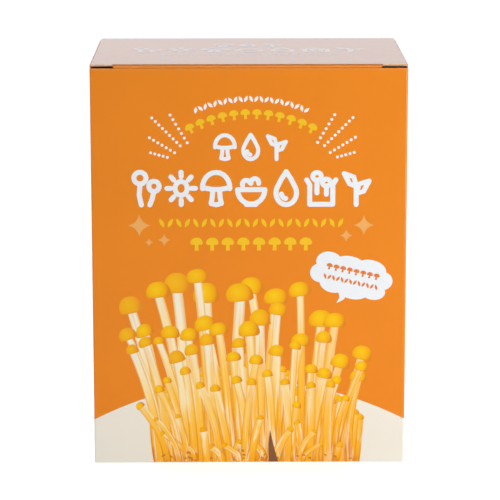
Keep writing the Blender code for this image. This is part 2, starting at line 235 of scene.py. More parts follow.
def flap_board(name, coated_up, fold, bleed):
    """An unprinted flap: one side white, with ink run over from the wall, and one side grey."""
    material, node = new_material(name, Roughness=0.6, Specular_IOR_Level=0.3)
    coordinates = node("TexCoord")
    axes = node("SeparateXYZ", {"Vector": coordinates["Object"]})
    normal = node("SeparateXYZ", {"Vector": coordinates["Normal"]})
    facing = node("Math", {0: normal["Z"], 1: 1.0 if coated_up else -1.0}, **TIMES)[0]
    coated = node("Math", {0: facing, 1: 0.5}, **ABOVE)[0]
    reverse = node("Math", {0: facing, 1: -0.5}, **BELOW)[0]
    half = HALF_WIDTH if fold == "X" else HALF_DEPTH
    from_fold = node("Math", {0: axes[fold]}, **SIZE)[0]
    inked = node("Math", {0: from_fold, 1: half - 0.006}, **ABOVE)[0]
    spots = {"Vector": coordinates["Object"], "Scale": 1 / 0.0009, "Detail": 4}
    fibre = node("TexNoise", spots)[0]
    greys = ((0.30, "A39B90"), (0.50, "C2BBB0"), (0.75, "D8D3C9"))
    grey = node("ValToRGB", {"Fac": fibre}, greys)[0]
    white = node("ValToRGB", {"Fac": fibre}, ((0.3, "E9E6DF"), (0.7, "F3F1EC")))[0]
    top = node("Mix", {0: inked, 6: white, 7: bleed}, **COLOUR)[2]
    edge = node("Mix", {0: coated, 6: "D9B295", 7: top}, **COLOUR)[2]
    colour = node("Mix", {0: reverse, 6: edge, 7: grey}, **COLOUR)[2]
    relief = node("Bump", {"Height": fibre, "Distance": 0.00004})[0]
    return wired(material, Base_Color=colour, Normal=relief)


def board_finishes(settings):
    """Printed face, bare reverse and cut edge of the carton's board, made once."""
    names = ("offset printed coated board", "uncoated recycled board", "die cut board edge")
    if names[0] in bpy.data.materials:
        return [bpy.data.materials[name] for name in names]
    return [printed_board(settings.orange, settings.cream), bare_board(), cut_board()]


def ink(name):
    """One of the solid offset inks, printed under the varnish, made once."""
    if name in bpy.data.materials:
        return bpy.data.materials[name]
    colours = {
        "white ink": "EEF1F4",
        "yellow ink": "F6C410",
        "pale orange ink": "F0AD5C",
        "warm white ink": "FCF3E8",
        "deep orange ink": "E27A2A",
        "thin white ink": "F8DCCB",
    }
    material, node = new_material(name, **VARNISH)
    place = node("TexCoord")["Object"]
    colour = drifting(node, place, linear(colours[name]), 0.004, 3)
    return wired(material, Base_Color=colour, Normal=varnish_relief(node, place))


def picture_ink():
    """Four-colour print of enoki: cream stems, golden feet, amber caps lit from upper left."""
    material, node = new_material(
        "four colour mushroom print", **VARNISH | {"Coat_Weight": 0.5}
    )
    across, along, _ = node("SeparateXYZ", {"Vector": node("UVMap", uv_map="along")[0]})
    kind = node("Attribute", attribute_name="kind")["Color"]
    tone, cap, depth = node("SeparateColor", {"Color": kind})

    centred = node("Math", {0: across, 1: 2.0, 2: -1.0}, **TIMES_PLUS)[0]
    rim = node("Math", {0: centred}, **SIZE)[0]
    stretched = node("CombineXYZ", {"X": across, "Y": along, "Z": tone})[0]
    scaled = node("Mapping", {"Vector": stretched, "Scale": (3.2, 2.2, 40.0)})[0]
    streak = node("TexNoise", {"Vector": scaled, "Scale": 1.0, "Detail": 2})[0]

    shifted = node("Math", {0: tone, 1: 0.36, 2: -0.18}, **TIMES_PLUS)[0]
    ripeness = node("Math", {0: along, 1: shifted}, **PLUS)[0]
    stem_stops = (
        (0.00, "DC8418"),
        (0.06, "F6A81A"),
        (0.30, "FEBC30"),
        (0.58, "FDCC5E"),
        (0.82, "F9DEA0"),
        (1.00, "F2EAD6"),
    )
    stem = node("ValToRGB", {"Fac": ripeness}, stem_stops)[0]
    near_rim = {"Value": rim, "From Min": 0.45, "From Max": 1.05, "To Max": 0.85}
    stem_edge = node("MapRange", near_rim, **SMOOTH)[0]
    edge_stops = ((0.0, "C66A0A"), (0.45, "EA920C"), (1.0, "EDB248"))
    edge_colour = node("ValToRGB", {"Fac": ripeness}, edge_stops)[0]
    stem = node("Mix", {0: stem_edge, 6: stem, 7: edge_colour}, **COLOUR)[2]
    # golden streaks, and pale ones between them
    for low, high, most, colour in ((0.52, 0.72, 0.55, "FBB020"), (0.47, 0.36, 0.7, "FCEBC4")):
        band = {"Value": streak, "From Min": low, "From Max": high, "To Max": most}
        stem = node("Mix", {0: node("MapRange", band)[0], 6: stem, 7: colour}, **COLOUR)[2]

    down = node("Math", {0: along, 1: 2.0, 2: -1.0}, **TIMES_PLUS)[0]
    spot = node("CombineXYZ", {"X": centred, "Y": down})[0]
    lit = node("VectorMath", {0: spot, 1: (-0.16, 0.42, 0.0)}, operation="DISTANCE")["Value"]
    cap_stops = (
        (0.00, "FACB14"),
        (0.40, "F8BE02"),
        (0.72, "F4AE00"),
        (0.92, "EC960A"),
        (1.00, "DE8410"),
    )
    cap_colour = node("ValToRGB", {"Fac": lit}, cap_stops)[0]
    browned = {"Value": tone, "From Min": 0.55, "From Max": 1.0, "To Max": 0.45}
    turned = node("MapRange", browned)[0]
    cap_colour = node("Mix", {0: turned, 6: cap_colour, 7: "EE9A1E"}, **COLOUR)[2]
    shaded = {"Value": down, "From Min": -0.10, "From Max": -0.30, "To Max": 0.55}
    under = node("MapRange", shaded, **SMOOTH)[0]
    cap_colour = node("Mix", {0: under, 6: cap_colour, 7: "D88A20"}, **COLOUR)[2]

    colour = node("Mix", {0: cap, 6: stem, 7: cap_colour}, **COLOUR)[2]
    deep = node("ValToRGB", {"Fac": depth}, ((0.3, "F6A60A"), (0.75, "EC9410"), (1.0, "85553A")))[0]
    colour = node("Mix", {0: depth, 6: colour, 7: deep}, **COLOUR)[2]
    relief = varnish_relief(node, node("TexCoord")["Object"])
    return wired(material, Base_Color=colour, Normal=relief)


def film():
    """Clear polypropylene bag film, limp and glossy: see-through, milky only along its creases."""
    material, node = new_material("polypropylene film", Roughness=0.16, IOR=1.49)
    place = node("TexCoord")["Object"]
    pattern = {"Vector": place, "Scale": 1 / 0.014, "Detail": 5, "Distortion": 1.2}
    crinkle = node("TexNoise", pattern)[0]
    band = {"Value": crinkle, "From Min": 0.50, "From Max": 0.72, "To Min": 0.08, "To Max": 0.50}
    milky = node("MapRange", band)[0]
    tint = node("Mix", {0: crinkle, 6: "E8EEEE", 7: "F8FAFA"}, **COLOUR)[2]
    relief = node("Bump", {"Height": crinkle, "Distance": 0.0012})[0]
    return wired(material, Base_Color=tint, Alpha=milky, Normal=relief)


def mycelium():
    """Sawdust bound by mycelium: white felt over brown crumbs 2 mm across, with some bran."""
    material, node = new_material(
        "mycelium on sawdust", Roughness=0.95, Specular_IOR_Level=0.15
    )
    place = node("TexCoord")["Object"]
    crumb = node("TexVoronoi", {"Vector": place, "Scale": 1 / 0.0024})
    felt = node("TexNoise", {"Vector": place, "Scale": 1 / 0.020, "Detail": 6})[0]
    browns = ((0.0, "8A6238"), (0.35, "A87C4B"), (0.7, "C39C68"), (1.0, "D9BC8C"))
    dust = node("ValToRGB", {"Fac": crumb["Color"]}, browns)[0]
    patches = node("MapRange", {"Value": felt, "From Min": 0.38, "From Max": 0.60})[0]
    colour = node("Mix", {0: patches, 6: dust, 7: "EFE9DB"}, **COLOUR)[2]
    relief = node("Bump", {"Height": crumb["Distance"], "Distance": 0.0006})[0]
    return wired(material, Base_Color=colour, Normal=relief)


def leaflet_paper(orange):
    """Uncoated 120 g paper with one ink band along its head and a faint tooth."""
    material, node = new_material(
        "uncoated leaflet paper", Roughness=0.8, Specular_IOR_Level=0.25
    )
    place = node("TexCoord")["Object"]
    axes = node("SeparateXYZ", {"Vector": place})
    tooth = node("TexNoise", {"Vector": place, "Scale": 1 / 0.0010, "Detail": 3})[0]
    sheet = node("Mix", {0: tooth, 6: "ECE9E0", 7: "F6F4EE"}, **COLOUR)[2]
    band = node("Math", {0: axes["Z"], 1: LEAFLET_HIGH.z - 0.016}, **ABOVE)[0]
    colour = node("Mix", {0: band, 6: sheet, 7: orange}, **COLOUR)[2]
    relief = node("Bump", {"Height": tooth, "Distance": 0.00003})[0]
    return wired(material, Base_Color=colour, Normal=relief)


# ---------------------------------------------------------------- meshes


def new_object(name, data):
    thing = bpy.data.objects.new(name, data)
    bpy.context.scene.collection.objects.link(thing)
    return thing


def modify(piece, name, kind, **settings):
    modifier = piece.modifiers.new(name, kind)
    for setting, value in settings.items():
        setattr(modifier, setting, value)


def finish_piece(name, bm, materials, body, smooth=True, sharp=None):
    """Turns a bmesh into a piece that rides on a body and takes its finish from a slot."""
    mesh = bpy.data.meshes.new(name)
    bm.to_mesh(mesh)
    bm.free()
    if smooth:
        mesh.shade_smooth()
    else:
        mesh.shade_flat()
    if sharp:
        mesh.set_sharp_from_angle(angle=math.radians(sharp))
    piece = new_object(name, mesh)
    for material in materials:
        mesh.materials.append(material)
    if body:
        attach(piece, body)
    return piece


def board_thickness(piece, thickness=BOARD):
    """Board from an open sheet: printed outside, bare inside and cut edge, as in board_finishes."""
    modify(
        piece,
        "board",
        "SOLIDIFY",
        thickness=thickness,
        offset=-1,
        use_even_offset=True,
        material_offset=1,
        material_offset_rim=2,
    )


def pressed_edges(piece, width, segments, material=-1):
    """Rounds the cut edges a little, and keeps the panels flat."""
    modify(
        piece,
        "pressed edge",
        "BEVEL",
        width=width,
        segments=segments,
        material=material,
        harden_normals=True,
        limit_method="ANGLE",
        angle_limit=math.radians(60),
    )
    modify(piece, "flat panels", "WEIGHTED_NORMAL", keep_sharp=True)


def rounded(bm, geom, offset, segments, affect="EDGES"):
    bmesh.ops.bevel(
        bm,
        geom=geom,
        offset=offset,
        segments=segments,
        profile=0.5,
        affect=affect,
        material=-1,
    )


def cuboid(low, high):
    bm = bmesh.new()
    bmesh.ops.create_cube(bm, size=1)
    bmesh.ops.scale(bm, vec=high - low, verts=bm.verts)
    bmesh.ops.translate(bm, vec=(high + low) / 2, verts=bm.verts)
    return bm


def extrude_edges(bm, edges, offset):
    """Pulls a new row of faces out of a row of edges and returns the new edges."""
    made = bmesh.ops.extrude_edge_only(bm, edges=edges)["geom"]
    verts = [g for g in made if isinstance(g, bmesh.types.BMVert)]
    bmesh.ops.translate(bm, vec=offset, verts=verts)
    fresh = set(verts)
    return [g for g in made if isinstance(g, bmesh.types.BMEdge) and fresh.issuperset(g.verts)]


def outward(bm, probe, direction):
    """Recalculates normals so that the face nearest the probe looks along the direction."""
    bmesh.ops.recalc_face_normals(bm, faces=bm.faces)
    nearest = min(bm.faces, key=lambda f: (f.calc_center_median() - Vector(probe)).length)
    if nearest.normal.dot(Vector(direction)) < 0:
        bmesh.ops.reverse_faces(bm, faces=bm.faces)


# ---------------------------------------------------------------- flat artwork


class Panel:
    """A flat face that carries artwork: where its zero is, and which way is right, up and out."""

    def __init__(self, origin, right, up, out):
        self.origin, self.right, self.up, self.out = (Vector(v) for v in (origin, right, up, out))

    def place(self, point, lift=0.0):
        return self.origin + (self.right * point[0] + self.up * point[1]) * MM + self.out * lift


FRONT = Panel((0, -HALF_DEPTH + SKIN, 0), (1, 0, 0), (0, 0, 1), (0, -1, 0))
BACK = Panel((0, HALF_DEPTH - SKIN, 0), (-1, 0, 0), (0, 0, 1), (0, 1, 0))
LEFT = Panel((-HALF_WIDTH + SKIN, 0, 0), (0, -1, 0), (0, 0, 1), (-1, 0, 0))
RIGHT = Panel((HALF_WIDTH - SKIN, 0, 0), (0, 1, 0), (0, 0, 1), (1, 0, 0))
LID = Panel((0, 0, TOP - SKIN), (1, 0, 0), (0, 1, 0), (0, 0, 1))


def disc(centre, radius, steps=14):
    return [
        Vector(centre) + Vector((math.cos(a), math.sin(a))) * radius
        for a in (2 * math.pi * k / steps for k in range(steps))
    ]


def arc(centre, radius_x, radius_y, start, end, steps=12):
    """Points along part of an ellipse, angles in degrees."""
    x, y = centre
    angles = (math.radians(start + (end - start) * k / steps) for k in range(steps + 1))
    return [(x + radius_x * math.cos(a), y + radius_y * math.sin(a)) for a in angles]


def ring(centre, radius_x, radius_y):
    """A closed loop as two overlapping half strokes."""
    return [arc(centre, radius_x, radius_y, start, start + 184, 9) for start in (0, 180)]


def stroke(path, width, caps=5):
    """The outline of a pen stroke with round ends along a path."""
    path = [Vector(p) for p in path]
    half = width / 2
    neighbours = zip([path[0], *path[:-1]], [*path[1:], path[-1]])
    tangents = [(after - before).normalized() for before, after in neighbours]
    sides = [Vector((-t.y, t.x)) for t in tangents]
    left = [p + s * half for p, s in zip(path, sides)]
    right = [p - s * half for p, s in zip(path, sides)]
    angles = [math.pi * k / caps for k in range(1, caps)]
    ends = [
        [path[i] + (sides[i] * math.cos(a) + tangents[i] * math.sin(a)) * reach for a in angles]
        for i, reach in ((-1, half), (0, -half))
    ]
    return [*left, *ends[0], *reversed(right), *ends[1]]


def star(centre, radius):
    """A four-pointed sparkle with hollow sides."""
    pinch, points = 0.34, []
    tips = [Matrix.Rotation(math.pi / 2 * k, 2) @ Vector((0, radius)) for k in range(5)]
    for a, b in zip(tips, tips[1:]):
        for t in (j / 5 for j in range(5)):
            side = a * (1 - t) ** 2 + (a + b) * pinch * t * (1 - t) + b * t**2
            points.append(Vector(centre) + side)
    return points


def flat_layer(name, panel, shapes, finish, lift=INK, body="carton", paint=None):
    """A thin closed layer of ink from outlines; where they overlap, the last one shows."""
    points, faces = [], []
    for outline in shapes:
        corners = [Vector(p[:2]) for p in outline]
        if sum(a.cross(b) for a, b in zip(corners, corners[1:] + corners[:1])) < 0:
            corners.reverse()
        faces.append(list(range(len(points), len(points) + len(corners))))
        points.extend(corners)
    flat, _, cells, _, _, owners = delaunay_2d_cdt(points, [], faces, 1, 1e-5, True)
    bm = bmesh.new()
    along = bm.loops.layers.uv.new("along") if paint else None
    kind = bm.loops.layers.float_color.new("kind") if paint else None
    placed = [bm.verts.new(panel.place(p, lift)) for p in flat]
    for cell, owner in zip(cells, owners):
        if not owner:
            continue
        face = bm.faces.new([placed[i] for i in cell])
        if paint:
            local, values = paint[max(owner)]
            for loop, index in zip(face.loops, cell):
                loop[along].uv = local(flat[index])
                loop[kind] = (*values, 1)
    bmesh.ops.delete(bm, geom=[v for v in bm.verts if not v.link_faces], context="VERTS")
    bm.normal_update()
    wrong = [f for f in bm.faces if f.normal.dot(panel.out) < 0]
    bmesh.ops.reverse_faces(bm, faces=wrong)
    material = ink(finish) if isinstance(finish, str) else finish
    layer = finish_piece(name, bm, [material], body, smooth=False)
    modify(layer, "ink", "SOLIDIFY", thickness=lift * 0.8, offset=-1)


class Stem:
    """A slim stem: a bent centre line in millimetres, and widths at its foot and its neck."""

    def __init__(self, foot, neck, bend, foot_width, neck_width, steps=9):
        foot, neck = Vector(foot), Vector(neck)
        middle = (foot + neck) / 2 + Vector((bend, 0))
        self.line = [
            foot * (1 - t) ** 2 + middle * 2 * t * (1 - t) + neck * t**2
            for t in (k / steps for k in range(steps + 1))
        ]
        self.widths = [foot_width + (neck_width - foot_width) * k / steps for k in range(steps + 1)]
        self.lean = self.line[-1] - self.line[-2]
        # short stems stay golden, tall ones pale towards the cap
        self.paling = 0.5 + 0.5 * min(neck.y / 75, 1)

    def outline(self):
        left, right = [], []
        for i, point in enumerate(self.line):
            ahead = self.line[min(i + 1, len(self.line) - 1)] - self.line[max(i - 1, 0)]
            side = Vector((-ahead.y, ahead.x)).normalized() * self.widths[i] / 2
            left.append(point + side)
            right.append(point - side)
        return left + right[::-1]

    def local(self, point):
        """Place across the stem from 0 to 1, and how far up it has paled."""
        best = None
        for i, (a, b) in enumerate(zip(self.line, self.line[1:])):
            run = b - a
            t = min(max((point - a).dot(run) / run.length_squared, 0), 1)
            off = point - (a + run * t)
            if best is None or off.length < best[0]:
                across = off.dot(Vector((run.y, -run.x)).normalized())
                width = self.widths[i] + (self.widths[i + 1] - self.widths[i]) * t
                best = (off.length, 0.5 + across / width, (i + t) / (len(self.line) - 1))
        return (best[1], best[2] * self.paling)


class Cap:
    """A rounded cap, seen from the side, tilted with its stem."""

    def __init__(self, centre, width, height, tilt, draw):
        self.centre, self.turn = Vector(centre), Matrix.Rotation(tilt, 2)
        self.half = Vector((width / 2, height / 2))
        self.wobble = [draw.uniform(0.95, 1.05) for _ in range(4)]

    def outline(self, steps=26):
        points = []
        for k in range(steps):
            angle = 2 * math.pi * k / steps
            c, s = math.cos(angle), math.sin(angle)
            wide = math.copysign(abs(c) ** (0.84 if s > 0 else 0.55), c)
            high = s if s > 0 else -0.26 * abs(s) ** 0.9
            bulge = self.wobble[k * 4 // steps]
            edge = Vector((wide * self.half.x * bulge, high * self.half.y))
            points.append(self.centre + self.turn @ edge)
        return points

    def local(self, point):
        back = self.turn.transposed() @ (point - self.centre)
        return (0.5 + 0.5 * back.x / self.half.x, 0.5 + 0.5 * back.y / self.half.y)


# the lowest stems' foot above the wall's foot, and the left and right ends of the bunch's foot
BUNCH_FOOT, BUNCH_LEFT, BUNCH_RIGHT = 0.4, -43, 50


def crown_height(x):
    """Height in millimetres that the tallest caps reach across the bunch."""
    return 96 - 0.0046 * (x + 10) ** 2 - 0.20 * max(x, 0)


def grow_bunch(draw):
    """Stems and caps from the back of the bunch to the front, each with its ink values."""
    # how many, lowest and highest share of the crown, cap widths, stem width per cap width,
    # and how far the tier reaches to the sides
    tiers = (
        (12, 0.85, 1.00, (11.5, 15.2), 0.39, 1.00),
        (13, 0.66, 0.85, (9.0, 12.5), 0.46, 0.99),
        (15, 0.48, 0.70, (6.6, 9.4), 0.60, 0.98),
        (14, 0.27, 0.50, (4.6, 6.4), 0.82, 0.92),
        (16, 0.07, 0.26, (2.8, 4.2), 1.05, 0.80),
    )
    shapes = []
    for place in draw.sample(range(46), 46):
        x = -44 + 95 * place / 45
        share = draw.uniform(0.36, 0.51) * (1 - 0.16 * abs((x - 3) / 48) ** 3)
        top = Vector((x * 1.04, crown_height(x) * share))
        stem = Stem((x, BUNCH_FOOT), top, draw.uniform(-2, 2), 4.6, 4.0)
        tone = draw.uniform(0.0, 0.5)
        shapes.append((stem, (tone, 0.0, draw.uniform(0.05, 0.3))))
        shapes.append((Cap(top, 4.6, 4.8, draw.uniform(-0.2, 0.2), draw), (tone, 1.0, 0.3)))
    for tier, (count, low, high, widths, slimness, reach) in enumerate(tiers):
        order = list(range(count))
        draw.shuffle(order)
        for place in order:
            share = (place + draw.uniform(0.15, 0.85)) / count
            x = (-61 + 117 * share) * reach
            crown = crown_height(x)
            outer = abs(x + 3) / 58
            height = crown * draw.uniform(low, high) * (1 - 0.10 * outer**3 * (tier < 2))
            width = draw.uniform(*widths) * (1 - 0.22 * outer)
            foot_x = x * 0.82 + draw.uniform(-5, 5) + 1.0
            foot_x = min(max(foot_x, BUNCH_LEFT), BUNCH_RIGHT)
            lean = (x - foot_x) * 0.45
            stem_width = width * slimness * draw.uniform(0.9, 1.1)
            stem = Stem(
                (foot_x, BUNCH_FOOT),
                (x, height),
                -lean + draw.uniform(-2.0, 2.0),
                stem_width * 1.05,
                stem_width * 0.92,
            )
            tilt = -math.atan2(stem.lean.x, stem.lean.y) * 0.8 + draw.uniform(-0.16, 0.16)
            tone = min(max(draw.random() * 0.8 + 0.1 - x * 0.004, 0), 1)
            cap = Cap((x, height), width, width * draw.uniform(1.0, 1.24), tilt, draw)
            gold = 0.30 * min(max((x - 15) / 30, 0), 1)
            shapes.append((stem, (tone, 0.0, gold)))
            shapes.append((cap, (tone, 1.0, 0.35 if tier == 4 else 0.0)))
    gap = ((9.4, 0.4), (14.0, 0.4), (11.8, 8.0), (10.0, 16.5), (9.2, 9.0))
    return [*shapes, (Patch(gap), (0.5, 0.0, 1.0))]


class Patch:
    """A flat patch of one colour: what is dark between the stems."""

    def __init__(self, points):
        self.points = [Vector(p) for p in points]

    def outline(self):
        return self.points

    def local(self, point):
        return ((point.x + 60) * 0.25 % 1, point.y / 60)


def filling(draw):
    """The golden shade behind the stems, low in the bunch."""
    top = []
    for x in spaced(48, BUNCH_LEFT, 41):
        rise = 0.52 * math.sqrt(max(1 - ((x - 2) / 50) ** 2, 0)) + 0.03
        top.append((x, crown_height(x) * rise * draw.uniform(0.8, 1.1)))
    return Patch([(BUNCH_LEFT, BUNCH_FOOT), (48, BUNCH_FOOT), *top])


def front_bunch(seed):
    draw = random.Random(seed)
    grown = [(filling(draw), (0.5, 0.0, 0.75)), *grow_bunch(draw)]
    for _ in range(20):
        place = (draw.uniform(BUNCH_LEFT, BUNCH_RIGHT), abs(draw.gauss(0, 2.4)) + 1.6)
        size = draw.uniform(1.0, 2.4), draw.uniform(1.0, 2.0)
        grown.append((Cap(place, *size, draw.uniform(-1, 1), draw), (0.5, 1.0, 0.88)))
    shapes = [[(x, max(y, 0.3)) for x, y in shape.outline()] for shape, _ in grown]
    paint = [(shape.local, values) for shape, values in grown]
    flat_layer("front_bunch_print", FRONT, shapes, picture_ink(), paint=paint)


# ---------------------------------------------------------------- pictograms

# pen strokes of each sign, in a box one wide and one high
ICONS = {
    "mushroom": [
        arc((0.5, 0.52), 0.45, 0.44, -4, 184),
        [(0.05, 0.52), (0.35, 0.47), (0.65, 0.47), (0.95, 0.52)],
        [(0.39, 0.45), (0.37, 0.22), (0.33, 0.06)],
        [(0.61, 0.45), (0.63, 0.22), (0.67, 0.06)],
        [(0.33, 0.06), (0.5, 0.02), (0.67, 0.06)],
    ],
    "pair": [
        *ring((0.30, 0.80), 0.20, 0.17),
        [(0.30, 0.60), (0.27, 0.3), (0.34, 0.02)],
        *ring((0.76, 0.56), 0.17, 0.15),
        [(0.75, 0.40), (0.70, 0.2), (0.62, 0.02)],
    ],
    "drop": [
        arc((0.5, 0.36), 0.34, 0.34, 150, 390, 14),
        [(0.20, 0.52), (0.34, 0.76), (0.5, 0.98)],
        [(0.80, 0.52), (0.66, 0.76), (0.5, 0.98)],
        arc((0.5, 0.36), 0.16, 0.16, 190, 265, 5),
    ],
    "sprig": [
        [(0.5, 0.02), (0.5, 0.5), (0.5, 0.62)],
        [(0.5, 0.55), (0.28, 0.62), (0.1, 0.92)],
        [(0.5, 0.55), (0.42, 0.82), (0.1, 0.92)],
        [(0.5, 0.35), (0.74, 0.40), (0.92, 0.70)],
        [(0.5, 0.35), (0.60, 0.62), (0.92, 0.70)],
    ],
    "sun": [
        *ring((0.5, 0.5), 0.20, 0.20),
        *(
            [(0.5 + far * math.cos(a), 0.5 + far * math.sin(a)) for far in (0.34, 0.47)]
            for a in (math.pi / 4 * k for k in range(8))
        ),
    ],
    "box": [
        [(0.12, 0.60), (0.12, 0.03)],
        [(0.12, 0.03), (0.88, 0.03)],
        [(0.88, 0.03), (0.88, 0.60)],
        [(0.12, 0.60), (0.02, 0.74)],
        [(0.88, 0.60), (0.98, 0.74)],
        *ring((0.36, 0.84), 0.14, 0.11),
        [(0.36, 0.70), (0.36, 0.36)],
        *ring((0.67, 0.66), 0.13, 0.10),
        [(0.67, 0.54), (0.67, 0.32)],
    ],
    "bowl": [
        arc((0.5, 0.46), 0.45, 0.42, 180, 360),
        [(0.05, 0.46), (0.95, 0.46)],
        arc((0.34, 0.62), 0.13, 0.11, 20, 200, 7),
        arc((0.62, 0.66), 0.13, 0.12, -10, 190, 7),
        [(0.34, 0.03), (0.66, 0.03)],
    ],
    "1": [[(0.30, 0.76), (0.56, 0.98)], [(0.56, 0.98), (0.56, 0.02)]],
    "2": [
        arc((0.5, 0.70), 0.33, 0.28, 165, -35, 9),
        [(0.77, 0.54), (0.15, 0.02)],
        [(0.15, 0.02), (0.88, 0.02)],
    ],
    "3": [arc((0.47, 0.74), 0.30, 0.24, 150, -90, 9), arc((0.47, 0.26), 0.34, 0.24, 90, -150, 9)],
    "4": [[(0.62, 0.98), (0.10, 0.30)], [(0.10, 0.30), (0.92, 0.30)], [(0.66, 0.62), (0.66, 0.02)]],
}


def icon_shapes(name, left, foot, width, height, pen):
    """The strokes of one pictogram, drawn in a box on the panel."""
    paths = ([(left + x * width, foot + y * height) for x, y in path] for path in ICONS[name])
    return [stroke(path, pen) for path in paths]


def title_shapes(centre, foot, pen):
    """Two rows of large pictograms where a title would stand."""
    shapes = []
    for i, name in enumerate(("mushroom", "drop", "sprig")):
        shapes += icon_shapes(name, centre - 17.6 + 12.2 * i, foot + 22.0, 10.4, 12.2, pen * 0.92)
    for i, name in enumerate(("pair", "sun", "mushroom", "bowl", "drop", "box", "sprig")):
        shapes += icon_shapes(name, centre - 57.0 + 16.6 * i, foot, 14.4, 16.6, pen * 1.15)
    return shapes


def tiny_mushroom(foot, size, turn=0.0):
    """A small solid mushroom: a half-round cap and a slim stem."""
    spin = Matrix.Rotation(turn, 2)
    cap = [*arc((0, 0.52), 0.46, 0.44, 0, 180, 10), (-0.34, 0.42), (0.34, 0.42)]
    stem = [(-0.12, 0.44), (-0.15, 0.0), (0.15, 0.0), (0.12, 0.44)]
    return [[Vector(foot) + spin @ Vector(p) * size for p in shape] for shape in (cap, stem)]


def leaf(centre, length, width, turn):
    """A slim leaf, pointed at both ends."""
    spin = Matrix.Rotation(turn, 2)
    upper = [(length * (k / 8 - 0.5), width / 2 * math.sin(math.pi * k / 8)) for k in range(9)]
    lower = [(x, -y) for x, y in reversed(upper[1:-1])]
    return [Vector(centre) + spin @ Vector(p) for p in upper + lower]


def spaced(first, last, count):
    """Evenly spaced values from the first to the last."""
    return [first + (last - first) * k / (count - 1) for k in range(count)]


def mushroom_row(middle, foot, reach, count, size):
    """Tiny mushrooms side by side, from a middle out to its reach."""
    places = spaced(middle - reach, middle + reach, count)
    return [shape for x in places for shape in tiny_mushroom((x, foot), size)]


def leaf_row(middle, height, reach, count, length, width):
    """Leaves that lean left and right by turns, as mushroom_row places them."""
    leans = (math.radians(118), math.radians(62))
    places = spaced(middle - reach, middle + reach, count)
    return [leaf((x, height), length, width, leans[k % 2]) for k, x in enumerate(places)]


def rounded_box(left, foot, right, top, radius):
    """The outline of a rectangle with round corners."""
    corners = (
        ((right - radius, foot + radius), -90),
        ((right - radius, top - radius), 0),
        ((left + radius, top - radius), 90),
        ((left + radius, foot + radius), 180),
    )
    return [p for c, start in corners for p in arc(c, radius, radius, start, start + 90, 5)]


# ---------------------------------------------------------------- settings


def colour_setting(name, description, default):
    return FloatVectorProperty(
        name=name, description=description, subtype="COLOR", size=3, default=linear(default)
    )


def length_setting(name, description, default, **limits):
    return FloatProperty(
        name=name,
        description=description,
        default=default,
        subtype="DISTANCE",
        unit="LENGTH",
        **limits,
    )


class GrowKitCartonSettings(bpy.types.PropertyGroup):
    orange: colour_setting("Orange ink", "Ink over most of the carton", "EE8604")
    cream: colour_setting("Cream ink", "Ink of the hill along the foot of each wall", "EDE6D8")
    crease_radius: length_setting(
        "Crease radius",
        "Outer radius of the folds between the walls",
        0.0010,
        min=0.0006,
        max=0.003,
    )


class GrowKitPrintSettings(bpy.types.PropertyGroup):
    seed: IntProperty(
        name="Bunch seed",
        description="Which arrangement of the pictured bunch is drawn",
        default=19,
        min=0,
    )
    pen: length_setting(
        "Pen width", "Stroke width of the large pictograms", 0.0021, min=0.0005, max=0.004
    )


class GrowKitStageSettings(bpy.types.PropertyGroup):
    lens: FloatProperty(
        name="Lens",
        description="Focal length on a 36 mm sensor",
        default=181.5,
        min=20,
        unit="CAMERA",
    )
    distance: length_setting(
        "Distance", "From the camera to the printed front", 1.1762, min=0.3
    )
    height: length_setting("Height", "Height of the camera above the floor", 0.3452, min=0.0)


# ---------------------------------------------------------------- operators


